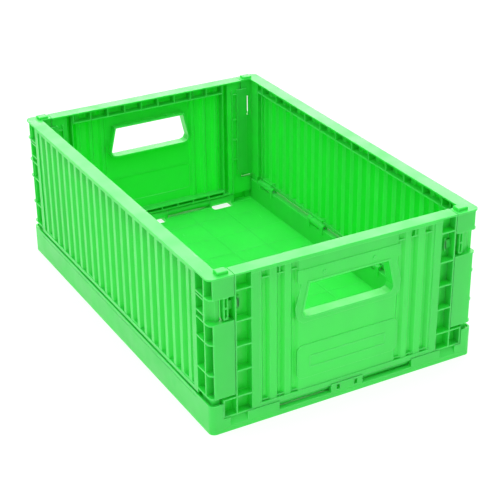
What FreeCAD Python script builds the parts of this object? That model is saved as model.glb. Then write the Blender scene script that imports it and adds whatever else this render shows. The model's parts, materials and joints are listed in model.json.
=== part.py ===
import FreeCAD, Part
import os

# Collapsible storage crate, millimetres. The origin is on the ground under the crate's centre.
# X runs along the crate (the near end is at +X), Y across it (the left side is at -Y), Z up.

# Overall size, over the base, which stands a little proud of the rails and the walls.
LENGTH = 600.0
WIDTH = 400.0
HEIGHT = 220.0

# Moulding thicknesses.
SKIN = 2.4
RIB = 1.8

# Top rails: a thin flange with a skirt outside. Then the corner radii.
RAIL_FLANGE = 2.4
RAIL_SKIRT = 5.5
RAIL_RADIUS = 8.0
POST_RADIUS = 7.5
BASE_RADIUS = 8.0

# Faces, measured out from the centre.
BASE_X = LENGTH / 2
BASE_Y = WIDTH / 2
RAIL_X = LENGTH / 2 - 0.4
RAIL_Y = WIDTH / 2 - 0.4
WALL_X = LENGTH / 2 - 1.0
WALL_Y = WIDTH / 2 - 1.0
RAIL_INNER_X = 280.0
RAIL_INNER_Y = 180.0
RAIL_UNDER = HEIGHT - RAIL_FLANGE
SKIRT_BOTTOM = HEIGHT - RAIL_SKIRT

# End wall hinge: a line along Y, low down, so that the end walls fold onto the floor.
END_AXIS_X = 288.0
END_AXIS_Z = 14.0
END_BARREL_R = 6.0
END_PIN_R = 2.5

# Long wall hinge: a line along X, high enough to fold over the lowered end walls.
LONG_AXIS_Y = 186.0
LONG_AXIS_Z = 43.0
LONG_BARREL_R = 5.5
LONG_PIN_R = 2.0
LONG_HINGES = (-236.0, -78.0, 78.0, 236.0)
LONG_BARREL_HALF = 14.0
LUG_NEAR = 14.5
LUG_FAR = 22.5

# A pin turns in its barrel with this much room all round.
RUNNING_GAP = 0.06

# Base tray.
FLOOR_TOP = 5.0
FLOOR_UNDER = 2.6
SIDE_TOP = 40.0
LIP_TOP = 42.0
SIDE_INNER_Y = 182.6
SIDE_CELL = 44.0
SILL_TOP = 6.0
SILL_X = 282.0
BLOCK_TOP = 20.6
BLOCK_HOLLOW_TOP = 9.5
CENTRE_BLOCK = 24.0
OUTER_BLOCK = (102.0, 148.0)
CORNER_LOW_Y = 173.0
CORNER_LOW_TOP = 19.8
NECK_TOP = 50.0
SLOT_X = (272.5, 281.5)
STACK_RECESS = 4.5
UNDER_RIB_PITCH = 60.0

# End walls.
END_HALF = 163.5
END_BOTTOM = 21.0
END_LIP = 19.2
END_BACK_X = 284.0
LAP_INNER = 155.0
LAP_OUTER = 173.0
LAP_BOTTOM = 56.0
LAP_TOP = 205.0
COLUMN_INNER = 141.0
STRIP_INNER = 130.0
COLUMN_RIBS = (47.0, 84.0, 119.0, 154.5, 197.7)
FOOT_BOTTOM = 20.6
FOOT_TOP = 47.0
FOOT_OUTER = 181.8
PANEL_X = WALL_X - 1.0
GROOVES = ((79.0, 3.5), (99.0, 5.0), (120.5, 5.0))
GROOVE_BOTTOM = 26.5
END_SHELF = 30.0

# Hand opening: a trapezoid, wider below.
GRIP_TOP = 180.0
GRIP_BOTTOM = 133.5
GRIP_TOP_HALF = 58.5
GRIP_BOTTOM_HALF = 67.5

# Long walls.
POST_INNER = 164.5
POST_BOTTOM = 51.0
POST_BACK_X = 283.2
CORNER_PLATE_X = 281.4
LEG_X = 262.0
LONG_LEG_Y = 184.0
STRIP_X = 253.0
DIVIDER_X = 284.4
POST_RIBS = (86.0, 130.0)
LEG_RIBS = (167.0, 188.0)
LONG_BOTTOM = 45.0
BAND_TOP = 50.5
WAVE_PITCH = 22.0
WAVE_DEPTH = 6.5
WAVE_CREST = 7.0
WAVE_SLOPE = 3.0
LEDGE_Z = 204.5
CELL_PITCH = 2 * WAVE_PITCH

# Latch pocket in each post, and the latch tongue that slides in it.
POCKET_BOTTOM = 157.0
POCKET_TOP = 192.5
STRIKE_X = 286.4
STRIKE_Y = 178.4
STRIKE_PLATE = (181.6, 186.0)
LATCH_X = 287.0
LATCH_FACE = 296.6
LATCH_ARM = 3.0
LATCH_TIP = 177.8
LATCH_WIDTH = 6.5
LATCH_BAR = 2.6
LATCH_BOTTOM = 158.5
LATCH_TOP = 190.5
LATCH_MID = (LATCH_BOTTOM + LATCH_TOP) / 2


def vector(x, y, z):
    return FreeCAD.Vector(x, y, z)


def box(x0, x1, y0, y1, z0, z1):
    return Part.makeBox(x1 - x0, y1 - y0, z1 - z0, vector(x0, y0, z0))


def fuse(shapes):
    return shapes[0].multiFuse(shapes[1:]).removeSplitter()


def mirror_x(shape):
    return shape.mirror(vector(0, 0, 0), vector(1, 0, 0))


def mirror_y(shape):
    return shape.mirror(vector(0, 0, 0), vector(0, 1, 0))


def both_y(shapes):
    """The given shapes and their mirror images across the crate."""
    return shapes + [mirror_y(shape) for shape in shapes]


def both_x(shapes):
    """The given shapes and their mirror images along the crate."""
    return shapes + [mirror_x(shape) for shape in shapes]


def bar_x(x0, x1, y, z, radius):
    return Part.makeCylinder(radius, x1 - x0, vector(x0, y, z), vector(1, 0, 0))


def bar_y(x, y0, y1, z, radius):
    return Part.makeCylinder(radius, y1 - y0, vector(x, y0, z), vector(0, 1, 0))


def rounded_plan(half_x, half_y, radius, z0, z1):
    """A block centred on the origin, with rounded upright corners."""
    block = box(-half_x, half_x, -half_y, half_y, z0, z1)
    upright = [edge for edge in block.Edges if abs(edge.tangentAt(edge.FirstParameter).z) > 0.9]
    return block.makeFillet(radius, upright)


def rounded_face(x0, x1, y0, y1, z0, z1, radius):
    """A plate facing along X, with rounded corners."""
    plate = box(x0, x1, y0, y1, z0, z1)
    through = [edge for edge in plate.Edges if abs(edge.tangentAt(edge.FirstParameter).x) > 0.9]
    return plate.makeFillet(radius, through)


def slot_plan(x0, x1, y0, y1, z0, z1):
    """An upright cutter for a slot along Y with round ends."""
    radius = (x1 - x0) / 2
    middle = (x0 + x1) / 2
    slot = box(x0, x1, y0 + radius, y1 - radius, z0, z1)
    for end in (y0 + radius, y1 - radius):
        slot = slot.fuse(Part.makeCylinder(radius, z1 - z0, vector(middle, end, z0)))
    return slot


def facing_prism(outline, x0, x1):
    """A closed outline of (y, z) points, extruded along X."""
    points = [vector(x0, y, z) for y, z in outline]
    wire = Part.makePolygon(points + points[:1])
    return Part.Face(wire).extrude(vector(x1 - x0, 0, 0))


# ---------------------------------------------------------------- base tray

def long_rail():
    """Right-hand side rail of the base: a hollow beam with its cells open below."""
    rail = box(-BASE_X, BASE_X, SIDE_INNER_Y, BASE_Y, 0, SIDE_TOP)
    rail = rail.common(rounded_plan(BASE_X, BASE_Y, BASE_RADIUS, 0, SIDE_TOP))
    cells = []
    for index in range(-6, 6):
        start = index * SIDE_CELL + RIB / 2
        end = start + SIDE_CELL - RIB
        cells.append(box(start, end, SIDE_INNER_Y + SKIN, BASE_Y - SKIN, 0, SIDE_TOP - SKIN))
    return rail.cut(Part.makeCompound(cells))


def side_trim():
    """Upstanding lip round the outside of the right-hand rail, and the necks under the posts."""
    lip = rounded_plan(BASE_X, BASE_Y, BASE_RADIUS, SIDE_TOP - SKIN, LIP_TOP)
    lip = lip.cut(rounded_plan(BASE_X - SKIN, BASE_Y - SKIN, BASE_RADIUS - SKIN, 0, HEIGHT))
    lip = lip.common(box(-BASE_X, BASE_X, SIDE_INNER_Y, BASE_Y, 0, HEIGHT))
    neck = rounded_plan(WALL_X - 5, WALL_Y - 4, POST_RADIUS - 4, SIDE_TOP - SKIN, NECK_TOP)
    neck = neck.common(box(LEG_X + 6, WALL_X, SIDE_INNER_Y + 2.5, WALL_Y, 0, NECK_TOP))
    return [lip] + both_x([neck])


def long_hinge_lugs():
    """Solid hinge seats in the right-hand rail, each with a lug at both sides of a barrel."""
    shapes = []
    for x in LONG_HINGES:
        seat = box(x - LUG_FAR, x + LUG_FAR, SIDE_INNER_Y, BASE_Y - SKIN, SIDE_TOP - 12, SIDE_TOP)
        shapes.append(seat)
        for start in (x - LUG_FAR, x + LUG_NEAR):
            end = start + LUG_FAR - LUG_NEAR
            shapes.append(bar_x(start, end, LONG_AXIS_Y, LONG_AXIS_Z, LONG_BARREL_R))
            shapes.append(box(start, end, LONG_AXIS_Y - LONG_BARREL_R, LONG_AXIS_Y + LONG_BARREL_R,
                              SIDE_TOP - 8, LONG_AXIS_Z))
    return shapes


def long_hinge_cuts():
    """Room for the turning barrels, and the pin holes, on the right-hand side."""
    cuts = []
    for x in LONG_HINGES:
        cuts.append(bar_x(x - LUG_NEAR, x + LUG_NEAR, LONG_AXIS_Y, LONG_AXIS_Z, LONG_BARREL_R + 1.0))
        cuts.append(bar_x(x - LUG_FAR, x + LUG_FAR, LONG_AXIS_Y, LONG_AXIS_Z, LONG_PIN_R))
    return cuts


def end_block(y0, y1):
    """Hinge block on the near end: square outside, rounded about the hinge line inside."""
    return [
        box(END_AXIS_X, BASE_X, y0, y1, 0, BLOCK_TOP),
        box(SILL_X, END_AXIS_X, y0, y1, 0, END_AXIS_Z),
        bar_y(END_AXIS_X, y0, y1, END_AXIS_Z, END_BARREL_R),
    ]


def sill_lip(y0, y1, top):
    """Front lip of the sill, sloping back as it rises to the given height."""
    front = [(BASE_X, SILL_TOP), (BASE_X, 8.0), (BASE_X - 5.0, top), (BASE_X - 6.5, SILL_TOP)]
    wire = Part.makePolygon([vector(x, y0, z) for x, z in front + front[:1]])
    return Part.Face(wire).extrude(vector(0, y1 - y0, 0))


def base_end():
    """Near end of the base: sill, hinge blocks and the low part of each corner."""
    shapes = [box(SILL_X, BASE_X, -SIDE_INNER_Y, SIDE_INNER_Y, 0, SILL_TOP)]
    shapes.append(sill_lip(-OUTER_BLOCK[0] - 1, OUTER_BLOCK[0] + 1, 10.0))
    shapes += both_y([sill_lip(OUTER_BLOCK[1] - 1, CORNER_LOW_Y + 1, 19.0)])
    shapes += end_block(-CENTRE_BLOCK, CENTRE_BLOCK)
    shapes += both_y(end_block(OUTER_BLOCK[0], OUTER_BLOCK[1]))
    shapes += both_y([box(END_AXIS_X + 1, BASE_X, CORNER_LOW_Y, SIDE_INNER_Y, 0, CORNER_LOW_TOP)])
    return shapes


def base_end_cuts():
    """Pin holes, windows, stacking recesses, floor slots and hollow hinge blocks of the near end."""
    pin_hole = bar_y(END_AXIS_X, CENTRE_BLOCK / 2, OUTER_BLOCK[1], END_AXIS_Z, END_PIN_R)
    window = box(BASE_X - 5, BASE_X, 11, 16, 10.5, 18)
    outer = (OUTER_BLOCK[0] + 4, OUTER_BLOCK[1] - 6)
    outer_slot = slot_plan(*SLOT_X, *outer, 0, FLOOR_TOP)
    outer_hollow = box(SLOT_X[1] - 3, BASE_X - 4, *outer, 0, BLOCK_HOLLOW_TOP)
    stack_recess = box(281, 295.5, 167.5, 185.5, 0, STACK_RECESS)
    centre = (-CENTRE_BLOCK + 6, CENTRE_BLOCK - 6)
    centre_slot = slot_plan(*SLOT_X, *centre, 0, FLOOR_TOP)
    centre_hollow = box(SLOT_X[1] - 3, BASE_X - 4, *centre, 0, BLOCK_HOLLOW_TOP)
    paired = both_y([pin_hole, window, outer_slot, outer_hollow, stack_recess])
    return paired + [centre_slot, centre_hollow]


def floor_panel():
    """Floor plate with a grid of low ribs under it."""
    edge_x = SILL_X + 1
    edge_y = SIDE_INNER_Y + 1
    shapes = [box(-edge_x, edge_x, -edge_y, edge_y, FLOOR_UNDER, FLOOR_TOP)]
    for index in range(-4, 5):
        x = index * UNDER_RIB_PITCH
        shapes.append(box(x - RIB / 2, x + RIB / 2, -edge_y, edge_y, 0, FLOOR_UNDER))
    for index in range(-2, 3):
        y = index * UNDER_RIB_PITCH
        shapes.append(box(-edge_x, edge_x, y - RIB / 2, y + RIB / 2, 0, FLOOR_UNDER))
    return shapes


def base_tray():
    groove = box(-LEG_X, LEG_X, BASE_Y - 0.6, BASE_Y, 36, 37.2)
    solids = floor_panel()
    solids += both_y([long_rail()] + side_trim() + long_hinge_lugs())
    solids += both_x(base_end())
    cuts = both_y(long_hinge_cuts() + [groove]) + both_x(base_end_cuts())
    return fuse(solids).cut(Part.makeCompound(cuts))


# ---------------------------------------------------------------- end walls

def end_sheet():
    """Grooved sheet between the frame strips, drawn in plan and extruded upward."""
    outer = []
    for centre, depth in GROOVES:
        outer += [(PANEL_X, centre - 6), (PANEL_X - depth, centre - 2)]
        outer += [(PANEL_X - depth, centre + 2), (PANEL_X, centre + 6)]
    outer += [(PANEL_X, STRIP_INNER + 1)]
    left = [(x, -y) for x, y in reversed(outer)]
    front = left + outer
    back = [(x - SKIN, y) for x, y in reversed(front)]
    points = [vector(x, y, END_BOTTOM) for x, y in front + back]
    face = Part.Face(Part.makePolygon(points + points[:1]))
    sheet = face.extrude(vector(0, 0, RAIL_UNDER - END_BOTTOM))
    inner_face = PANEL_X - SKIN
    return sheet.cut(rounded_face(inner_face - 1, inner_face + 1, -73, 73, 46, 89, 7))


def grip_outline(grow):
    """Corners of the hand opening, grown outward by the given amount."""
    top = GRIP_TOP + grow
    bottom = GRIP_BOTTOM - grow
    return [
        (-GRIP_TOP_HALF - grow, top), (-GRIP_BOTTOM_HALF - grow, bottom + 8),
        (-GRIP_BOTTOM_HALF - grow + 3, bottom + 2), (-GRIP_BOTTOM_HALF - grow + 9, bottom),
        (GRIP_BOTTOM_HALF + grow - 9, bottom), (GRIP_BOTTOM_HALF + grow - 3, bottom + 2),
        (GRIP_BOTTOM_HALF + grow, bottom + 8), (GRIP_TOP_HALF + grow, top),
    ]


def raised_panels():
    """Low raised shapes on the end wall: round the hand opening, and a label field below it."""
    grip = facing_prism([
        (-76, 200), (-76, 184), (-70, 181), (-79, 148), (-77, 132), (-68, 125),
        (68, 125), (77, 132), (79, 148), (70, 181), (76, 184), (76, 200),
    ], PANEL_X - 1, PANEL_X + 1)
    field = rounded_face(PANEL_X - 1, PANEL_X + 1, -76, 76, 43, 92, 9)
    label = rounded_face(PANEL_X, PANEL_X + 1.6, -58, 58, 57, 75, 3)
    label = label.cut(rounded_face(PANEL_X, PANEL_X + 2, -56.4, 56.4, 58.6, 73.4, 2))
    dots = [Part.makeCylinder(2.5, 2, vector(PANEL_X, y, 190), vector(1, 0, 0)) for y in (-37, 37)]
    return [grip, field, label] + dots


def end_column():
    """Right-hand strip, open rib column and foot of the near end wall."""
    shapes = [
        box(WALL_X - SKIN, WALL_X, STRIP_INNER, COLUMN_INNER, END_BOTTOM, RAIL_UNDER),
        box(END_BACK_X, WALL_X, STRIP_INNER, STRIP_INNER + RIB, END_BOTTOM, RAIL_UNDER),
        box(END_BACK_X, WALL_X, COLUMN_INNER - RIB, COLUMN_INNER, FOOT_BOTTOM, RAIL_UNDER),
        box(END_BACK_X, END_BACK_X + SKIN, COLUMN_INNER - RIB, END_HALF, FOOT_BOTTOM, RAIL_UNDER),
        box(END_BACK_X, WALL_X, END_HALF - RIB, END_HALF, FOOT_BOTTOM, RAIL_UNDER),
        box(END_BACK_X, END_BACK_X + SKIN, END_HALF - RIB, FOOT_OUTER, FOOT_BOTTOM, FOOT_TOP),
        box(END_BACK_X, WALL_X, FOOT_OUTER - RIB, FOOT_OUTER, FOOT_BOTTOM, FOOT_TOP),
        box(END_BACK_X, WALL_X, COLUMN_INNER - RIB, FOOT_OUTER, FOOT_BOTTOM, FOOT_BOTTOM + RIB),
        box(END_BACK_X, WALL_X, END_HALF - RIB, FOOT_OUTER, FOOT_TOP - RIB, FOOT_TOP),
    ]
    for z in COLUMN_RIBS:
        shapes.append(box(END_BACK_X, WALL_X, COLUMN_INNER - RIB, END_HALF, z - RIB, z))
    return shapes


def end_inner_ribs():
    """Rows of cells inside the near end wall, under its rail and along its bottom chord."""
    shapes = []
    for bottom, top, shelf in ((LEDGE_Z, RAIL_UNDER, LEDGE_Z), (END_BOTTOM, END_SHELF, END_SHELF)):
        shapes.append(box(RAIL_INNER_X + 1, PANEL_X - 1, -STRIP_INNER, STRIP_INNER, shelf - RIB, shelf))
        for index in range(10):
            y = -STRIP_INNER + index * (2 * STRIP_INNER - RIB) / 9
            shapes.append(box(RAIL_INNER_X + 1, PANEL_X - 1, y, y + RIB, bottom, top))
    return shapes


def end_lap():
    """Flange of the near end wall that laps behind the right post, joined on by a channel."""
    front = RAIL_INNER_X + 0.4
    shapes = [
        box(front, front + 2, LAP_INNER, LAP_OUTER, LAP_BOTTOM, LAP_TOP),
        box(front, END_BACK_X + 1, LAP_INNER, LAP_INNER + RIB, LAP_BOTTOM, LAP_TOP),
        box(front, END_BACK_X + 1, LAP_INNER - 9, LAP_INNER - 9 + RIB, END_BOTTOM, LAP_TOP),
    ]
    for z in COLUMN_RIBS[1:]:
        shapes.append(box(front, END_BACK_X + 1, LAP_INNER - 9, LAP_INNER + RIB, z - RIB, z))
    return shapes


def end_barrel(y0, y1):
    """One hinge barrel of the near end wall, hung from the bottom chord by an arm at each end."""
    arm = 9.0
    return [
        bar_y(END_AXIS_X, y0, y1, END_AXIS_Z, END_BARREL_R),
        box(END_AXIS_X - 3, END_AXIS_X + 3, y0, y0 + arm, END_AXIS_Z, END_BOTTOM + 1),
        box(END_AXIS_X - 3, END_AXIS_X + 3, y1 - arm, y1, END_AXIS_Z, END_BOTTOM + 1),
    ]


def end_wall():
    """Near end wall with its rail, frame, grooved sheet, hand opening, feet and hinge barrels."""
    solids = [
        box(RAIL_INNER_X, RAIL_X, -END_HALF, END_HALF, RAIL_UNDER, HEIGHT),
        box(WALL_X - SKIN, RAIL_X, -COLUMN_INNER, COLUMN_INNER, SKIRT_BOTTOM, HEIGHT),
        end_sheet(),
        box(END_BACK_X - 2, WALL_X, -COLUMN_INNER, COLUMN_INNER, END_BOTTOM, END_BOTTOM + SKIN),
        box(WALL_X - 7, WALL_X, -COLUMN_INNER, COLUMN_INNER, END_BOTTOM, GROOVE_BOTTOM),
        facing_prism(grip_outline(SKIN), END_BACK_X, WALL_X + 0.8),
    ]
    solids += raised_panels() + end_inner_ribs() + both_y(end_column() + end_lap())
    solids += both_y(end_barrel(CENTRE_BLOCK + 0.5, OUTER_BLOCK[0] - 0.5))
    lip_span = (CENTRE_BLOCK + 1, OUTER_BLOCK[0] - 1)
    solids += both_y([box(WALL_X - SKIN, WALL_X, *lip_span, END_LIP, END_BOTTOM + 1)])
    pin_hole = bar_y(END_AXIS_X, CENTRE_BLOCK, OUTER_BLOCK[0], END_AXIS_Z, END_PIN_R + RUNNING_GAP)
    slot_side = (END_HALF - RIB, END_HALF)
    latch_slot = box(LATCH_X - 0.6, LATCH_X + LATCH_ARM + 1, *slot_side, LATCH_MID - 6.5, LATCH_MID + 6.5)
    cuts = both_y([pin_hole, latch_slot]) + [facing_prism(grip_outline(0), END_BACK_X - 1, BASE_X)]
    return fuse(solids).cut(Part.makeCompound(cuts))


# ---------------------------------------------------------------- long walls

def wave_line():
    """Plan points of the corrugation's outer face: flat crests with sloping sides."""
    crest_y = WALL_Y - 0.5
    valley_y = crest_y - WAVE_DEPTH
    valley = WAVE_PITCH - WAVE_CREST - 2 * WAVE_SLOPE
    points = []
    for index in range(int(2 * STRIP_X / WAVE_PITCH)):
        x = -STRIP_X + index * WAVE_PITCH + valley / 2
        points += [(x, valley_y), (x + WAVE_SLOPE, crest_y)]
        points += [(x + WAVE_SLOPE + WAVE_CREST, crest_y), (x + 2 * WAVE_SLOPE + WAVE_CREST, valley_y)]
    return [(-STRIP_X, valley_y)] + points + [(STRIP_X, valley_y)]


def long_sheet():
    """Corrugated sheet of the right-hand wall."""
    outer = wave_line()
    inner = [(x, y - SKIN) for x, y in reversed(outer)]
    points = [vector(x, y, LONG_BOTTOM) for x, y in outer + inner]
    face = Part.Face(Part.makePolygon(points + points[:1]))
    return face.extrude(vector(0, 0, RAIL_UNDER - LONG_BOTTOM))


def post_rib(z):
    """L-shaped rib across both legs of a post, rounded round the crate's corner."""
    legs = box(LEG_X, WALL_X, LONG_LEG_Y, WALL_Y, z - RIB, z)
    legs = legs.fuse(box(POST_BACK_X, WALL_X, POST_INNER, WALL_Y, z - RIB, z))
    return legs.common(rounded_plan(WALL_X, WALL_Y, POST_RADIUS, z - RIB, z))


def leg_rib(z):
    """Rib across the long side's leg of a post only."""
    return box(LEG_X, DIVIDER_X + 1, LONG_LEG_Y, WALL_Y, z - RIB, z)


def post():
    """Corner post at the near end of the right-hand wall, before its latch pocket is cut."""
    plates = [
        box(WALL_X - SKIN, WALL_X, POST_INNER, WALL_Y - 5.5, POST_BOTTOM, RAIL_UNDER),
        box(POST_BACK_X, POST_BACK_X + SKIN, POST_INNER, WALL_Y - 2, POST_BOTTOM, RAIL_UNDER),
        box(POST_BACK_X, WALL_X, POST_INNER, POST_INNER + SKIN, POST_BOTTOM, RAIL_UNDER),
        box(DIVIDER_X, STRIKE_X, LONG_LEG_Y, WALL_Y, POST_BOTTOM, RAIL_UNDER),
        box(LEG_X, POST_BACK_X + SKIN, LONG_LEG_Y, LONG_LEG_Y + SKIN, POST_BOTTOM, RAIL_UNDER),
        box(LEG_X, LEG_X + RIB, LONG_LEG_Y, WALL_Y, POST_BOTTOM, RAIL_UNDER),
    ]
    ribs = [post_rib(z) for z in POST_RIBS + (POST_BOTTOM + RIB, POCKET_BOTTOM, POCKET_TOP)]
    return plates + ribs + [leg_rib(z) for z in LEG_RIBS]


def pocket_cuts():
    """Latch pocket at the near right post: open to the end, to the side and to the inside."""
    return [
        box(STRIKE_X, BASE_X, POST_INNER - 1, BASE_Y, POCKET_BOTTOM, POCKET_TOP - RIB),
        box(POST_BACK_X, BASE_X, POST_INNER - 1, STRIKE_Y, POCKET_BOTTOM, POCKET_TOP - RIB),
    ]


def strike():
    """Back of the latch pocket: a plate that a pushed-out latch catches on, and a curved corner."""
    top = POCKET_TOP - RIB / 2
    wall = box(POST_BACK_X, STRIKE_X, STRIKE_Y, WALL_Y, POCKET_BOTTOM - 1, top)
    plate = box(STRIKE_X - 1, STRIKE_X + 5, STRIKE_PLATE[0], STRIKE_PLATE[1], POCKET_BOTTOM - 1, top)
    radius = WALL_Y - STRIKE_PLATE[1]
    corner = box(STRIKE_X - 1, STRIKE_X + 5, STRIKE_PLATE[1] - 1, WALL_Y, POCKET_BOTTOM - 1, top)
    hollow = Part.makeCylinder(radius, HEIGHT, vector(STRIKE_X + radius * 0.9, WALL_Y - 1, 0))
    return [wall, plate, corner.cut(hollow)]


def long_rails():
    """Flange and skirt on top of the right-hand wall, with the corner plates over its posts."""
    flange = box(-RAIL_X, RAIL_X, RAIL_INNER_Y, RAIL_Y, RAIL_UNDER, HEIGHT)
    corners = both_x([box(CORNER_PLATE_X, RAIL_X, POST_INNER, RAIL_Y, RAIL_UNDER, HEIGHT)])
    flange = fuse([flange] + corners)
    flange = flange.common(rounded_plan(RAIL_X, RAIL_Y, RAIL_RADIUS, RAIL_UNDER, HEIGHT))
    skirt = box(-LEG_X, LEG_X, WALL_Y - SKIN, RAIL_Y, SKIRT_BOTTOM, HEIGHT)
    return [flange, skirt]


def long_frame():
    """Strips, chord and inner cells of the right-hand wall."""
    chord_y = LONG_LEG_Y + 4.5
    ledge_y = (RAIL_INNER_Y + 1, WALL_Y - 6)
    chord = box(-LEG_X, LEG_X, chord_y, WALL_Y, LONG_BOTTOM, LONG_BOTTOM + SKIN)
    band = box(-LEG_X, LEG_X, WALL_Y - SKIN, WALL_Y, LONG_BOTTOM, BAND_TOP)
    band_step = box(-LEG_X, LEG_X, chord_y, WALL_Y, BAND_TOP - RIB, BAND_TOP)
    ledge = box(-LEG_X, LEG_X, *ledge_y, LEDGE_Z - RIB, LEDGE_Z)
    strip = box(STRIP_X + 0.5, LEG_X + RIB, WALL_Y - SKIN, WALL_Y, LONG_BOTTOM, RAIL_UNDER)
    strip_web = box(STRIP_X - 1, STRIP_X + RIB, LONG_LEG_Y + 2, WALL_Y - SKIN, BAND_TOP, RAIL_UNDER)
    leg_web = box(LEG_X, LEG_X + RIB, chord_y, WALL_Y, LONG_BOTTOM, POST_BOTTOM + RIB)
    shapes = [chord, band, band_step, ledge] + both_x([strip, strip_web, leg_web])
    for index in range(-6, 6):
        x = (index + 0.5) * CELL_PITCH - RIB / 2
        shapes.append(box(x, x + RIB, *ledge_y, LEDGE_Z - RIB, RAIL_UNDER))
    return shapes


def long_barrels():
    """Hinge barrels of the right-hand wall, each with an arm up to the chord."""
    shapes = []
    for x in LONG_HINGES:
        start = x - LONG_BARREL_HALF
        end = x + LONG_BARREL_HALF
        shapes.append(bar_x(start, end, LONG_AXIS_Y, LONG_AXIS_Z, LONG_BARREL_R))
        shapes.append(box(start, end, LONG_AXIS_Y, WALL_Y - 1, LONG_AXIS_Z + 2, BAND_TOP + 2))
    return shapes


def long_cuts():
    """Room round the base's hinge lugs, and the bores of the barrels."""
    cuts = []
    for x in LONG_HINGES:
        for start in (x - LUG_FAR - 0.5, x + LUG_NEAR - 0.5):
            end = start + LUG_FAR - LUG_NEAR + 1
            cuts.append(bar_x(start, end, LONG_AXIS_Y, LONG_AXIS_Z, LONG_BARREL_R + 0.8))
        cuts.append(bar_x(x - LUG_NEAR, x + LUG_NEAR, LONG_AXIS_Y, LONG_AXIS_Z, LONG_PIN_R + RUNNING_GAP))
    return cuts


def stacking_nub():
    """Small locating block on top of the rail over the near right post."""
    nub = box(282, 294, 169, 184, HEIGHT - 1, HEIGHT + 4)
    top = [edge for edge in nub.Edges if edge.BoundBox.ZMin > HEIGHT + 3.9]
    return nub.makeFillet(1.2, top)


def long_wall():
    """Right-hand wall with its rail, corrugated sheet, two posts and hinge barrels."""
    end = fuse(post()).cut(Part.makeCompound(pocket_cuts()))
    end = fuse([end] + strike())
    solids = [long_sheet()] + long_rails() + long_frame() + long_barrels()
    solids += both_x([end, stacking_nub()])
    return fuse(solids).cut(Part.makeCompound(long_cuts()))


# ---------------------------------------------------------------- latches and pins

def latch():
    """Near right latch: a ladder-shaped tongue, an arm through the wall's edge, and a tail."""
    inner = LATCH_TIP - LATCH_WIDTH
    tongue = box(LATCH_X, LATCH_FACE, inner, LATCH_TIP, LATCH_BOTTOM, LATCH_TOP)
    upright = [edge for edge in tongue.Edges if abs(edge.tangentAt(edge.FirstParameter).x) > 0.9]
    tongue = tongue.makeFillet(1.5, upright)
    window = (LATCH_TOP - LATCH_BOTTOM - 3 * LATCH_BAR) / 2
    for index in range(2):
        z = LATCH_BOTTOM + LATCH_BAR + index * (window + LATCH_BAR)
        tongue = tongue.cut(box(LATCH_X, LATCH_FACE, inner + 1.7, LATCH_TIP - 1.7, z, z + window))
    back = LATCH_X + LATCH_ARM
    arm = box(LATCH_X, back, END_HALF - 10, inner + 1, LATCH_MID - 6, LATCH_MID + 6)
    tail = box(LATCH_X, back, END_HALF - 11, END_HALF - 8, LATCH_MID - 9.5, LATCH_MID + 9.5)
    return fuse([tongue, arm, tail])


def end_pin(side):
    """Hinge pin of the near end, on the given side of the centre."""
    start = CENTRE_BLOCK / 2
    pin = bar_y(END_AXIS_X, start, OUTER_BLOCK[1] - 6, END_AXIS_Z, END_PIN_R)
    return pin if side > 0 else mirror_y(pin)


def long_pin(x):
    """Hinge pin of the right-hand side, centred at the given x."""
    return bar_x(x - LUG_FAR + 0.5, x + LUG_FAR - 0.5, LONG_AXIS_Y, LONG_AXIS_Z, LONG_PIN_R)


def export(name, shape):
    shape.exportStep(os.path.join("parts", name + ".step"))
    print(name, "solids", len(shape.Solids), "valid", shape.isValid(), "volume", round(shape.Volume))


def main():
    os.makedirs("parts", exist_ok=True)
    export("base_tray", base_tray())
    near = end_wall()
    export("end_wall_near", near)
    export("end_wall_far", mirror_x(near))
    right = long_wall()
    export("long_wall_right", right)
    export("long_wall_left", mirror_y(right))
    tongue = latch()
    export("latch_near_right", tongue)
    export("latch_near_left", mirror_y(tongue))
    export("latch_far_right", mirror_x(tongue))
    export("latch_far_left", mirror_x(mirror_y(tongue)))
    for side, word in ((-1, "left"), (1, "right")):
        export("end_pin_near_" + word, end_pin(side))
        export("end_pin_far_" + word, mirror_x(end_pin(side)))
    for index, x in enumerate(LONG_HINGES, start=1):
        export("side_pin_right_" + str(index), long_pin(x))
        export("side_pin_left_" + str(index), mirror_y(long_pin(x)))


main()
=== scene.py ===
"""Collapsible storage crate: dressed moulded pieces, studio and camera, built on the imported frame."""

import json
import logging
import math
from contextlib import contextmanager
from dataclasses import dataclass, field
from enum import Enum
from typing import Iterator, Sequence

import bpy
from mathutils import Matrix, Vector


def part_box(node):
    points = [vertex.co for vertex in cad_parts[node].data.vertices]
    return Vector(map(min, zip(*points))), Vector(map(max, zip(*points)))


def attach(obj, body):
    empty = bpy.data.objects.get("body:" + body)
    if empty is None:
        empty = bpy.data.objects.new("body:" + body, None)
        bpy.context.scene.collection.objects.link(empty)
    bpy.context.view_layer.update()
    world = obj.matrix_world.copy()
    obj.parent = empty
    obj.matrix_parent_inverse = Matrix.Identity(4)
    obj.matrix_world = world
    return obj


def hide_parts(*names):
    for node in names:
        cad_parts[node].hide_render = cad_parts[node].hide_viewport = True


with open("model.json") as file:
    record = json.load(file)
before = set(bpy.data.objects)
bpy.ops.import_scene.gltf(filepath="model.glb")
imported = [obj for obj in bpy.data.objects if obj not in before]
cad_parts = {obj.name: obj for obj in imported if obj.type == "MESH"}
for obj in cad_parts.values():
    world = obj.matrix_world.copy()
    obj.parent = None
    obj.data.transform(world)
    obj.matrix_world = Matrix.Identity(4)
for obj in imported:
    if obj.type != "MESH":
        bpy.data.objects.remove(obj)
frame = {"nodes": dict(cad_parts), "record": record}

log = logging.getLogger("crate")

MM = 0.001


class End(Enum):
    """The two short ends of the crate, and where each lies along X."""

    NEAR = 1
    FAR = -1

    @property
    def word(self) -> str:
        """The end's name as the frame spells it."""
        return self.name.lower()


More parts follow.
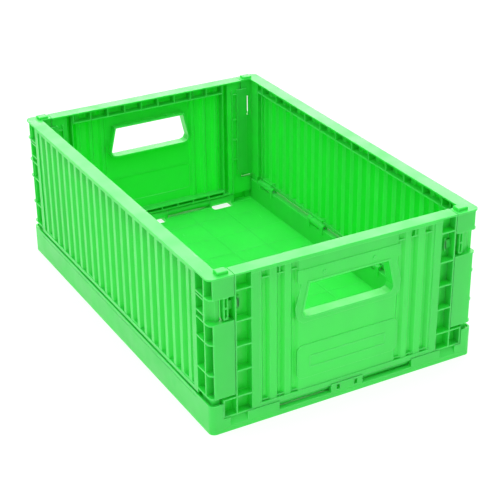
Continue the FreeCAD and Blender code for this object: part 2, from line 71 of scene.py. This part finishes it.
class Side(Enum):
    """The two long sides of the crate, and where each lies along Y."""

    LEFT = -1
    RIGHT = 1

    @property
    def word(self) -> str:
        """The side's name as the frame spells it."""
        return self.name.lower()


# ------------------------------------------------------------------ colours and nodes

def linear(hex_colour: str) -> tuple[float, float, float, float]:
    """Turns an sRGB hex colour into a linear one.

    Args:
        hex_colour: six hex digits after a hash sign, such as "#55dd77".

    Returns:
        Linear red, green and blue, and an alpha of 1.
    """
    parts = [int(hex_colour[i:i + 2], 16) / 255 for i in (1, 3, 5)]
    red, green, blue = (c / 12.92 if c <= 0.04045 else ((c + 0.055) / 1.055) ** 2.4 for c in parts)
    return red, green, blue, 1.0


def add_node(tree: bpy.types.NodeTree, kind: str, settings: dict | None = None,
             inputs: dict | None = None) -> bpy.types.Node:
    """Adds a node to a tree, sets it up and links it.

    Args:
        tree: the node tree to add to.
        kind: the node's Blender type name.
        settings: attributes to set on the node.
        inputs: socket name or number to a plain value, or to the output socket that feeds it.

    Returns:
        The new node.
    """
    node = tree.nodes.new(kind)
    for name, value in (settings or {}).items():
        setattr(node, name, value)
    for name, value in (inputs or {}).items():
        if isinstance(value, bpy.types.NodeSocket):
            tree.links.new(value, node.inputs[name])
        else:
            node.inputs[name].default_value = value
    return node


def ramp(tree: bpy.types.NodeTree, source: bpy.types.NodeSocket,
         stops: Sequence[tuple[float, float]]) -> bpy.types.NodeSocket:
    """Maps a value through straight stretches between two stops.

    Args:
        tree: the node tree to add to.
        source: the value that is mapped.
        stops: two pairs of (value in, value out).

    Returns:
        The mapped value, held at its ends.
    """
    (low_in, low_out), (high_in, high_out) = stops
    node = add_node(tree, "ShaderNodeMapRange", inputs={
        "Value": source, "From Min": low_in, "From Max": high_in,
        "To Min": low_out, "To Max": high_out})
    return node.outputs["Result"]


def multiply(tree: bpy.types.NodeTree, first: bpy.types.NodeSocket,
             second: bpy.types.NodeSocket) -> bpy.types.NodeSocket:
    """Multiplies two values.

    Args:
        tree: the node tree to add to.
        first: one value.
        second: the other value.

    Returns:
        Their product.
    """
    node = add_node(tree, "ShaderNodeMath", {"operation": "MULTIPLY"}, {0: first, 1: second})
    return node.outputs["Value"]


def blend(tree: bpy.types.NodeTree, share: bpy.types.NodeSocket,
          first: tuple[float, ...] | bpy.types.NodeSocket, second: str) -> bpy.types.NodeSocket:
    """Blends one colour into another.

    Args:
        tree: the node tree to add to.
        share: how much of the second colour shows, 0 to 1.
        first: the colour that shows where the share is 0, linear or from a socket.
        second: the sRGB hex colour that shows where the share is 1.

    Returns:
        The blended colour.
    """
    # The node has one set of sockets for each kind of data; these are the ones for colours.
    colour_a, colour_b, colour_result = 6, 7, 2
    node = add_node(tree, "ShaderNodeMix", {"data_type": "RGBA"},
                    {"Factor": share, colour_a: first, colour_b: linear(second)})
    return node.outputs[colour_result]


def blank_material(name: str) -> tuple[bpy.types.Material, bpy.types.NodeTree, bpy.types.NodeSocket]:
    """Makes a material with an empty node tree.

    Args:
        name: the material's name.

    Returns:
        The material, its node tree, and object coordinates in metres.
    """
    material = bpy.data.materials.new(name)
    material.use_nodes = True
    tree = material.node_tree
    tree.nodes.clear()
    return material, tree, add_node(tree, "ShaderNodeTexCoord").outputs["Object"]


# ------------------------------------------------------------------ finishes

@dataclass(frozen=True)
class MouldedPolypropylene:
    """Injection-moulded polypropylene copolymer, mass-coloured bright green.

    The resin is slightly milky, so light bleeds through thin ribs; the paler edges are a painted
    highlight, in patches. The mould was spark-eroded to a fine even grain, which softens the gloss, and
    the long flow from the gate leaves faint bands. Handling scuffs what stands proud.

    Attributes:
        name: the material's name.
        body: the resin's colour in the open.
        deep: painted shade for pockets, a deeper green that stands in for light that has bounced many
            times.
        edge: painted highlight along edges and ribs, a paler green.
        scuff: the whitish colour of stressed or scratched resin.
        gloss: roughness of an unworn face.
        flow: seed that shifts the flow bands from one moulding to the next.
        sink_pitch_mm: spacing of the sink marks over ribs under a floor, or 0 for none.
        milkiness: share of the light that goes into the resin and comes out elsewhere.
        bleed_mm: how far that light goes.
        bleed_colour: how far red, green and blue go, each as a share of bleed_mm.
        refraction: the resin's refractive index.
        pocket_mm: how close walls have to stand for a face to take the painted shade.
        rub_mm: reach of the painted highlight along an edge.
        radius_mm: radius of the moulded edges.
    """

    name: str
    body: str = "#40e759"
    # Deeper green painted into pockets as shade.
    deep: str = "#33e04d"
    # Paler green painted along edges as highlight.
    edge: str = "#74f08d"
    scuff: str = "#a5f5b4"
    gloss: float = 0.36
    flow: float = 0.0
    sink_pitch_mm: float = 0.0
    milkiness: float = 0.7
    bleed_mm: float = 8.0
    bleed_colour: tuple[float, float, float] = (0.2, 1.0, 0.3)
    refraction: float = 1.49
    pocket_mm: float = 25.0
    rub_mm: float = 0.9
    radius_mm: float = 0.6

    def build(self) -> bpy.types.Material:
        """Makes the node material.

        Returns:
            The finished material.
        """
        material, tree, place = blank_material(self.name)
        shader = add_node(tree, "ShaderNodeBsdfPrincipled", inputs={
            "Base Color": self._colour(tree, place),
            "Roughness": self._roughness(tree, place),
            "Normal": self._surface(tree, place),
            "IOR": self.refraction,
            "Subsurface Weight": self.milkiness,
            "Subsurface Radius": self.bleed_colour,
            "Subsurface Scale": self.bleed_mm * MM,
        })
        shader.subsurface_method = "RANDOM_WALK"
        add_node(tree, "ShaderNodeOutputMaterial", inputs={"Surface": shader.outputs["BSDF"]})
        return material

    def _noise(self, tree: bpy.types.NodeTree, place: bpy.types.NodeSocket, size_mm: float,
               detail: float = 3.0, stretch: Sequence[float] = (1.0, 1.0, 1.0)) -> bpy.types.NodeSocket:
        """A noise whose lumps are about size_mm across, stretched along the given axes.

        Args:
            tree: the node tree to add to.
            place: object coordinates, in metres.
            size_mm: rough width of one lump, in millimetres.
            detail: how much finer structure rides on the lumps.
            stretch: how many times longer the lumps are along X, Y and Z.

        Returns:
            The noise's value, about 0.5 on average.
        """
        scale = tuple(1.0 / s for s in stretch)
        moved = add_node(tree, "ShaderNodeMapping", inputs={
            "Vector": place, "Location": (self.flow, self.flow * 0.7, 0.0), "Scale": scale})
        noise = add_node(tree, "ShaderNodeTexNoise", inputs={
            "Vector": moved.outputs["Vector"], "Scale": 1.0 / (size_mm * MM), "Detail": detail})
        return noise.outputs["Fac"]

    def _edges(self, tree: bpy.types.NodeTree, radius_mm: float) -> bpy.types.NodeSocket:
        """How much a point lies on an edge, from how far a rounding of that radius turns the normal.

        Args:
            tree: the node tree to add to.
            radius_mm: the reach of the edge, in millimetres.

        Returns:
            0 on an open face, up to 0.8 on a sharp edge.
        """
        rounded = add_node(tree, "ShaderNodeBevel", {"samples": 6}, {"Radius": radius_mm * MM})
        facing = add_node(tree, "ShaderNodeNewGeometry").outputs["Normal"]
        agree = add_node(tree, "ShaderNodeVectorMath", {"operation": "DOT_PRODUCT"},
                         {0: rounded.outputs["Normal"], 1: facing})
        return ramp(tree, agree.outputs["Value"], ((0.999, 0.0), (0.88, 0.8)))

    def _colour(self, tree: bpy.types.NodeTree, place: bpy.types.NodeSocket) -> bpy.types.NodeSocket:
        """Base colour: resin with painted shade in pockets and a painted highlight along edges, with
        flow bands and scuffs.

        Args:
            tree: the node tree to add to.
            place: object coordinates, in metres.

        Returns:
            The colour socket.
        """
        # Painted shade: pockets, found by ambient occlusion, darken towards a deeper green.
        open_to = add_node(tree, "ShaderNodeAmbientOcclusion", {"samples": 8},
                           {"Distance": self.pocket_mm * MM})
        painted_shade_share = ramp(tree, open_to.outputs["AO"], ((0.95, 0.0), (0.35, 1.0)))
        resin = blend(tree, painted_shade_share, linear(self.body), self.deep)
        # Flow bands about 60 mm wide and five times as long, running up the walls.
        flow = self._noise(tree, place, size_mm=60, detail=2, stretch=(1, 1, 5))
        banded = add_node(tree, "ShaderNodeHueSaturation", inputs={
            "Color": resin, "Value": ramp(tree, flow, ((0.40, 0.965), (0.62, 1.02)))})
        # Painted highlight: edges are paler, in patches about 18 mm across.
        highlight_patches = ramp(tree, self._noise(tree, place, size_mm=18, detail=4), ((0.35, 0.45), (0.65, 1.0)))
        painted_highlight_share = multiply(tree, self._edges(tree, self.rub_mm), highlight_patches)
        edged = blend(tree, painted_highlight_share, banded.outputs["Color"], self.edge)
        return blend(tree, self._scratches(tree, place), edged, self.scuff)

    def _scratches(self, tree: bpy.types.NodeTree, place: bpy.types.NodeSocket) -> bpy.types.NodeSocket:
        """Sparse scuffs 0.5 mm high, 20 mm long on the long walls and 3 mm long on the end walls.

        Args:
            tree: the node tree to add to.
            place: object coordinates, in metres.

        Returns:
            0 on clean resin, a little above it on a scuff.
        """
        hairs = self._noise(tree, place, size_mm=0.5, detail=1, stretch=(40, 6, 1))
        patches = self._noise(tree, place, size_mm=90, detail=2)
        return multiply(tree, ramp(tree, hairs, ((0.70, 0.0), (0.76, 0.30))),
                        ramp(tree, patches, ((0.52, 0.0), (0.66, 1.0))))

    def _rib_lines(self, tree: bpy.types.NodeTree, place: bpy.types.NodeSocket) -> bpy.types.NodeSocket:
        """Lines about 4 mm wide over the ribs that stiffen the floor from below.

        Args:
            tree: the node tree to add to.
            place: object coordinates, in metres.

        Returns:
            1 over a rib, 0 between ribs and everywhere above the floor.
        """
        pitch, half_line = self.sink_pitch_mm * MM, 2.0 * MM
        grid = add_node(tree, "ShaderNodeTexBrick", {"offset": 0.0}, {
            "Vector": place, "Scale": 1.0, "Mortar Size": half_line, "Mortar Smooth": 1.0,
            "Brick Width": pitch, "Row Height": pitch})
        height = add_node(tree, "ShaderNodeSeparateXYZ", inputs={"Vector": place})
        on_floor = ramp(tree, height.outputs["Z"], ((5.5 * MM, 1.0), (6.0 * MM, 0.0)))
        return multiply(tree, grid.outputs["Fac"], on_floor)

    def _roughness(self, tree: bpy.types.NodeTree, place: bpy.types.NodeSocket) -> bpy.types.NodeSocket:
        """Roughness: satin, uneven over some 30 mm, as mould grain and handling leave it.

        Args:
            tree: the node tree to add to.
            place: object coordinates, in metres.

        Returns:
            The roughness socket.
        """
        uneven = self._noise(tree, place, size_mm=30, detail=4)
        return ramp(tree, uneven, ((0.35, self.gloss - 0.05), (0.68, self.gloss + 0.10)))

    def _surface(self, tree: bpy.types.NodeTree, place: bpy.types.NodeSocket) -> bpy.types.NodeSocket:
        """Normals: small edge radii, a slow sink waviness and the mould's fine grain.

        Args:
            tree: the node tree to add to.
            place: object coordinates, in metres.

        Returns:
            The normal socket.
        """
        rounded = add_node(tree, "ShaderNodeBevel", {"samples": 6}, {"Radius": self.radius_mm * MM})
        waves = self._noise(tree, place, size_mm=26, detail=1)
        sink = add_node(tree, "ShaderNodeBump", inputs={
            "Strength": 0.35, "Distance": 0.5 * MM, "Height": waves,
            "Normal": rounded.outputs["Normal"]})
        if self.sink_pitch_mm:
            sink = add_node(tree, "ShaderNodeBump", {"invert": True}, {
                "Strength": 0.6, "Distance": 0.6 * MM, "Height": self._rib_lines(tree, place),
                "Normal": sink.outputs["Normal"]})
        # Spark-eroded grain is about 0.1 mm; it is drawn at 0.7 mm so that it shows at all.
        grain = self._noise(tree, place, size_mm=0.7, detail=2)
        skin = add_node(tree, "ShaderNodeBump", inputs={
            "Strength": 0.10, "Distance": 0.08 * MM, "Height": grain, "Normal": sink.outputs["Normal"]})
        return skin.outputs["Normal"]


@dataclass(frozen=True)
class DrawnSteel:
    """Zinc-plated drawn steel rod: bright grey, with fine draw lines along the rod.

    Attributes:
        name: the material's name.
        bright: the metal's colour.
        dull: its colour where the plating has gone cloudy.
        along: the axis that the rod runs along, 0 for X or 1 for Y.
        line_mm: width of a draw line.
        line_stretch: how many times longer than wide a draw line is.
        cloud_mm: rough width of one cloudy spot.
    """

    name: str
    bright: str = "#c9cccf"
    dull: str = "#8d9194"
    along: int = 0
    line_mm: float = 0.3
    line_stretch: float = 50.0
    cloud_mm: float = 5.0

    def build(self) -> bpy.types.Material:
        """Makes the node material.

        Returns:
            The finished material.
        """
        material, tree, place = blank_material(self.name)
        squeeze = [1.0, 1.0, 1.0]
        squeeze[self.along] = 1.0 / self.line_stretch
        lined = add_node(tree, "ShaderNodeMapping", inputs={"Vector": place, "Scale": squeeze})
        lines = add_node(tree, "ShaderNodeTexNoise", inputs={
            "Vector": lined.outputs["Vector"], "Scale": 1.0 / (self.line_mm * MM), "Detail": 2.0})
        cloud = add_node(tree, "ShaderNodeTexNoise", inputs={
            "Vector": place, "Scale": 1.0 / (self.cloud_mm * MM), "Detail": 4.0})
        clouded = ramp(tree, cloud.outputs["Fac"], ((0.42, 0.0), (0.62, 1.0)))
        bump = add_node(tree, "ShaderNodeBump", inputs={
            "Strength": 0.2, "Distance": 0.05 * MM, "Height": lines.outputs["Fac"]})
        shader = add_node(tree, "ShaderNodeBsdfPrincipled", inputs={
            "Base Color": blend(tree, clouded, linear(self.bright), self.dull), "Metallic": 1.0,
            "Roughness": ramp(tree, lines.outputs["Fac"], ((0.3, 0.25), (0.7, 0.45))),
            "Normal": bump.outputs["Normal"]})
        add_node(tree, "ShaderNodeOutputMaterial", inputs={"Surface": shader.outputs["BSDF"]})
        return material


@dataclass(frozen=True)
class OpalAcrylicTable:
    """Opal cast acrylic sheet over a light box: matt, white and faintly glowing.

    Light that comes up through the sheet fills the shadows under the crate.

    Attributes:
        name: the material's name.
        sheet: its colour.
        shade: its colour in the faint mottling of the casting.
        mottling: how many spots of it lie in one metre.
        roughness: the roughness of the matt face.
        glow: how brightly the sheet shines.
    """

    name: str = "opal_cast_acrylic"
    sheet: str = "#8e8e8e"
    shade: str = "#898989"
    mottling: float = 3.0
    roughness: float = 0.9
    glow: float = 0.80

    def build(self) -> bpy.types.Material:
        """Makes the node material.

        Returns:
            The finished material.
        """
        material, tree, place = blank_material(self.name)
        mottle = add_node(tree, "ShaderNodeTexNoise", inputs={"Vector": place, "Scale": self.mottling})
        shader = add_node(tree, "ShaderNodeBsdfPrincipled", inputs={
            "Base Color": blend(tree, mottle.outputs["Fac"], linear(self.sheet), self.shade),
            "Roughness": self.roughness,
            "Emission Color": linear("#ffffff"), "Emission Strength": self.glow})
        add_node(tree, "ShaderNodeOutputMaterial", inputs={"Surface": shader.outputs["BSDF"]})
        return material


# ------------------------------------------------------------------ mesh work

def select_only(item: bpy.types.Object) -> None:
    """Makes one object the only selected and the active one."""
    bpy.ops.object.select_all(action="DESELECT")
    item.select_set(True)
    bpy.context.view_layer.objects.active = item


@contextmanager
def edit_mode() -> Iterator[None]:
    """Opens the active object's mesh for editing, and closes it again."""
    bpy.ops.object.mode_set(mode="EDIT")
    yield
    bpy.ops.object.mode_set(mode="OBJECT")


def body_of_node(node: str) -> str:
    """Names the body that carries a CAD node."""
    bodies = frame["record"]["behaviour"]["bodies"]
    return next(body for body, nodes in bodies.items() if node in nodes)


def wear(item: bpy.types.Object, material: bpy.types.Material) -> None:
    """Gives an object one material in place of all it has."""
    item.data.materials.clear()
    item.data.materials.append(material)


# ------------------------------------------------------------------ the crate's sub-assemblies

@dataclass
class Moulding:
    """One moulded piece of the crate that keeps its CAD shape.

    Attributes:
        node: the CAD node.
        flow: seed of its flow bands.
        sink_pitch_mm: spacing of the sink marks on its floor, or 0 for none.
    """

    node: str
    flow: float = 0.0
    sink_pitch_mm: float = 0.0

    def finish(self) -> MouldedPolypropylene:
        """Describes the piece's own resin."""
        return MouldedPolypropylene("moulded_polypropylene_" + self.node, flow=self.flow,
                                    sink_pitch_mm=self.sink_pitch_mm)

    def build(self) -> bpy.types.Object:
        """Dresses the CAD node.

        Returns:
            The dressed node.
        """
        piece = frame["nodes"][self.node]
        wear(piece, self.finish().build())
        log.info("%s: %d faces", piece.name, len(piece.data.polygons))
        return piece


@dataclass
class BaseTray(Moulding):
    """The tray with its floor, side rails and hinge seats, on ribs 60 mm apart."""

    node: str = "base_tray"
    sink_pitch_mm: float = 60.0


@dataclass
class HingeRod:
    """A steel rod that an end or side wall turns on.

    Attributes:
        node: the CAD node.
        along: the axis that it runs along, 0 for X or 1 for Y.
    """

    node: str
    along: int

    def build(self) -> bpy.types.Object:
        """Dresses the rod.

        Returns:
            The dressed node.
        """
        rod = frame["nodes"][self.node]
        wear(rod, DrawnSteel("drawn_steel_rod_" + self.node, along=self.along).build())
        log.info("%s: steel rod", rod.name)
        return rod


@dataclass
class SlidingLatch:
    """The ladder-shaped tongue in a corner's pocket, with its arm and tail.

    Attributes:
        end: the end wall that it slides in.
        side: the side that it points to.
        tongue: width of the ladder, in metres.
        bar: height of each of its three cross bars, in metres.
        stile: width of its two uprights, in metres.
        depth: depth of the arm and the tail, in metres.
        arm_half: half the height of the arm, in metres.
        arm_from: where the arm starts, from the tail's end, in metres.
        arm_to: where it stops, from the tongue's tip, in metres.
        tail: width of the tail, in metres.
        tail_half: half its height, in metres.
        radius: rounding of its edges, in metres.
        radius_steps: flat steps in that rounding.
        smooth_below: faces that meet at less than this many degrees shade as one.
    """

    end: End
    side: Side
    tongue: float = 6.5 * MM
    bar: float = 2.6 * MM
    stile: float = 1.7 * MM
    depth: float = 3.0 * MM
    arm_half: float = 6.0 * MM
    arm_from: float = 1.0 * MM
    arm_to: float = 5.5 * MM
    tail: float = 3.0 * MM
    tail_half: float = 9.5 * MM
    radius: float = 0.45 * MM
    radius_steps: int = 2
    smooth_below: float = 40.0

    @property
    def node(self) -> str:
        """The CAD node that the latch stands for."""
        return f"latch_{self.end.word}_{self.side.word}"

    def _ladder(self, low: Vector, high: Vector) -> bpy.types.Object:
        """Models the near right tongue as a grid with two openings, thickened to a plate.

        Args:
            low: lowest corner of the tongue.
            high: its highest corner.

        Returns:
            The tongue.
        """
        bpy.ops.object.select_all(action="DESELECT")
        bpy.ops.mesh.primitive_grid_add(x_subdivisions=3, y_subdivisions=5, size=1.0)
        tongue = bpy.context.active_object
        window = (high.z - low.z - 3 * self.bar) / 2
        across = [low.y, low.y + self.stile, high.y - self.stile, high.y]
        up = [low.z, low.z + self.bar, low.z + self.bar + window, high.z - self.bar - window,
              high.z - self.bar, high.z]
        for vertex in tongue.data.vertices:
            # The grid's own corners lie at -0.5 and 0.5.
            column = round((vertex.co.x + 0.5) * (len(across) - 1))
            row = round((vertex.co.y + 0.5) * (len(up) - 1))
            vertex.co = (low.x, across[column], up[row])
        with edit_mode():
            bpy.ops.mesh.select_mode(type="FACE")
            bpy.ops.mesh.select_all(action="DESELECT")
        for face in tongue.data.polygons:
            y, z = face.center.y, face.center.z
            face.select = across[1] < y < across[2] and (up[1] < z < up[2] or up[3] < z < up[4])
        with edit_mode():
            bpy.ops.mesh.delete(type="FACE")
        plate = tongue.modifiers.new("plate", "SOLIDIFY")
        plate.thickness, plate.offset = high.x - low.x, 1.0
        bpy.ops.object.modifier_apply(modifier=plate.name)
        return tongue

    def _block(self, low: Vector, high: Vector) -> bpy.types.Object:
        """Models a small block between two corners.

        Args:
            low: its lowest corner.
            high: its highest corner.

        Returns:
            The block, with its place in its mesh.
        """
        bpy.ops.object.select_all(action="DESELECT")
        bpy.ops.mesh.primitive_cube_add(size=1.0, location=(low + high) / 2, scale=high - low)
        block = bpy.context.active_object
        bpy.ops.object.transform_apply(location=True, rotation=True, scale=True)
        return block

    def build(self, flow: float) -> bpy.types.Object:
        """Models the latch, rounds it and puts it in the CAD latch's place.

        Args:
            flow: seed of its flow bands.

        Returns:
            The latch.
        """
        # All four are modelled as the near right one and mirrored into place.
        flip = Vector((self.end.value, self.side.value, 1))
        corners = [Vector(corner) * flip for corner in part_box(self.node)]
        low, high = Vector(map(min, *corners)), Vector(map(max, *corners))
        middle, back = (low.z + high.z) / 2, low.x + self.depth
        tongue = self._ladder(Vector((low.x, high.y - self.tongue, low.z)), high)
        arm = self._block(Vector((low.x, low.y + self.arm_from, middle - self.arm_half)),
                          Vector((back, high.y - self.arm_to, middle + self.arm_half)))
        tail = self._block(Vector((low.x, low.y, middle - self.tail_half)),
                           Vector((back, low.y + self.tail, middle + self.tail_half)))
        for item in (arm, tail, tongue):
            select_only(item)
            rounding = item.modifiers.new("edge_radius", "BEVEL")
            rounding.limit_method = "ANGLE"
            rounding.width, rounding.segments = self.radius, self.radius_steps
            bpy.ops.object.modifier_apply(modifier=rounding.name)
        for item in (arm, tail):
            item.select_set(True)
        bpy.ops.object.join()
        tongue.scale = flip
        bpy.ops.object.transform_apply(location=True, rotation=True, scale=True)
        with edit_mode():
            bpy.ops.mesh.select_all(action="SELECT")
            bpy.ops.mesh.normals_make_consistent(inside=False)
        bpy.ops.object.shade_smooth_by_angle(angle=math.radians(self.smooth_below))
        tongue.name = tongue.data.name = "ladder_" + self.node
        wear(tongue, MouldedPolypropylene("moulded_polypropylene_" + self.node, flow=flow).build())
        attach(tongue, body_of_node(self.node))
        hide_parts(self.node)
        log.info("%s: ladder tongue, arm and tail, %d faces", tongue.name, len(tongue.data.polygons))
        return tongue


# ------------------------------------------------------------------ studio

@dataclass
class SoftBox:
    """A large soft area light aimed at the crate.

    Attributes:
        name: the light's name.
        place: where it hangs, in metres.
        size: its width and height, in metres.
        watts: its power.
    """

    name: str
    place: tuple[float, float, float]
    size: tuple[float, float]
    watts: float

    def build(self, aim: Vector) -> bpy.types.Object:
        """Hangs the light.

        Args:
            aim: the point that it faces.

        Returns:
            The light's object.
        """
        data = bpy.data.lights.new(self.name, "AREA")
        data.shape = "RECTANGLE"
        data.size, data.size_y = self.size
        data.energy = self.watts
        item = bpy.data.objects.new(self.name, data)
        item.location = self.place
        item.rotation_euler = (aim - Vector(self.place)).to_track_quat("-Z", "Y").to_euler()
        bpy.context.scene.collection.objects.link(item)
        return item


@dataclass
class Studio:
    """Pale floor, soft lights and the camera.

    Attributes:
        floor_half: half the floor's width, in metres.
        azimuth: the camera's bearing from +X towards -Y, in degrees.
        elevation: its height above the horizon, in degrees.
        roll: its turn about its own axis, in degrees.
        distance: how far it stands from its target, in metres.
        target: the point that it faces, in metres.
        lens: its focal length, in millimetres.
        sensor: its sensor's width, in millimetres.
        sight: how far it sees, in metres.
        room_light: strength of the even light from all around.
        lights: the soft boxes.
    """

    floor_half: float = 12.0
    azimuth: float = 28.86
    elevation: float = 27.10
    roll: float = -0.55
    distance: float = 1.9124
    target: tuple[float, float, float] = (0.0653, -0.0135, 0.110)
    lens: float = 98.1
    sensor: float = 36.0
    sight: float = 60.0
    room_light: float = 0.60
    lights: list[SoftBox] = field(default_factory=lambda: [
        SoftBox("overhead", (0.0, -0.1, 2.4), (2.2, 2.2), 40.0),
        SoftBox("left_key", (0.2, -2.6, 1.7), (2.0, 1.6), 9.0),
        SoftBox("back_glow", (-2.5, 1.5, 1.5), (2.6, 1.5), 40.0),
    ])

    def build(self) -> None:
        """Builds the floor, the world, the lights and the camera."""
        # A plain tone curve keeps the resin's strong green from being washed out.
        bpy.context.scene.view_settings.view_transform = "Standard"
        self._floor()
        self._world()
        for light in self.lights:
            light.build(Vector(self.target))
        self._camera()

    def _floor(self) -> None:
        """Lays a wide pale floor under the crate."""
        bpy.ops.object.select_all(action="DESELECT")
        bpy.ops.mesh.primitive_plane_add(size=2 * self.floor_half, location=(0, 0, 0))
        floor = bpy.context.active_object
        floor.name = "studio_floor"
        wear(floor, OpalAcrylicTable().build())

    def _world(self) -> None:
        """Fills the room with even white light."""
        world = bpy.data.worlds.new("studio_world")
        world.use_nodes = True
        backdrop = world.node_tree.nodes["Background"]
        backdrop.inputs["Color"].default_value = linear("#ffffff")
        backdrop.inputs["Strength"].default_value = self.room_light
        bpy.context.scene.world = world

    def _camera(self) -> None:
        """Places the camera and makes it the scene's."""
        bearing, height = math.radians(-self.azimuth), math.radians(self.elevation)
        back = Vector((math.cos(height) * math.cos(bearing), math.cos(height) * math.sin(bearing),
                       math.sin(height)))
        data = bpy.data.cameras.new("camera")
        data.lens = self.lens
        data.sensor_width = self.sensor
        data.clip_end = self.sight
        camera = bpy.data.objects.new("camera", data)
        facing = (-back).to_track_quat("-Z", "Y").to_matrix()
        turn = facing @ Matrix.Rotation(math.radians(self.roll), 3, "Z")
        place = Matrix.Translation(Vector(self.target) + back * self.distance)
        camera.matrix_world = place @ turn.to_4x4()
        bpy.context.scene.collection.objects.link(camera)
        bpy.context.scene.camera = camera


@dataclass
class Crate:
    """All the crate's pieces, with flow bands that differ from one moulding to the next.

    Attributes:
        end_flow: shift of the end walls' bands, one forward and one back.
        long_flow: shift of both long walls' bands.
        long_flow_step: what the right one has more than that, and the left one less.
        latch_flow: shift of the latches' bands, forward in the near wall and back in the far one.
        latch_flow_step: what the right ones have more than that, and the left ones less.
        side_pins: number of hinge pins along one long wall.
    """

    end_flow: float = 0.4
    long_flow: float = 1.1
    long_flow_step: float = 0.4
    latch_flow: float = 0.3
    latch_flow_step: float = 0.1
    side_pins: int = 4

    def build(self) -> None:
        """Builds the tray, the end walls with their latches, and the long walls."""
        BaseTray().build()
        for end in End:
            Moulding("end_wall_" + end.word, flow=self.end_flow * end.value).build()
            for side in Side:
                flow = self.latch_flow * end.value + self.latch_flow_step * side.value
                SlidingLatch(end, side).build(flow)
                HingeRod(f"end_pin_{end.word}_{side.word}", along=1).build()
        for side in Side:
            flow = self.long_flow + self.long_flow_step * side.value
            Moulding("long_wall_" + side.word, flow=flow).build()
            for number in range(1, self.side_pins + 1):
                HingeRod(f"side_pin_{side.word}_{number}", along=0).build()


def main() -> None:
    logging.basicConfig(level=logging.INFO, format="%(name)s: %(message)s")
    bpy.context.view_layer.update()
    Crate().build()
    Studio().build()
    bpy.context.view_layer.update()


if __name__ == "__main__":
    main()
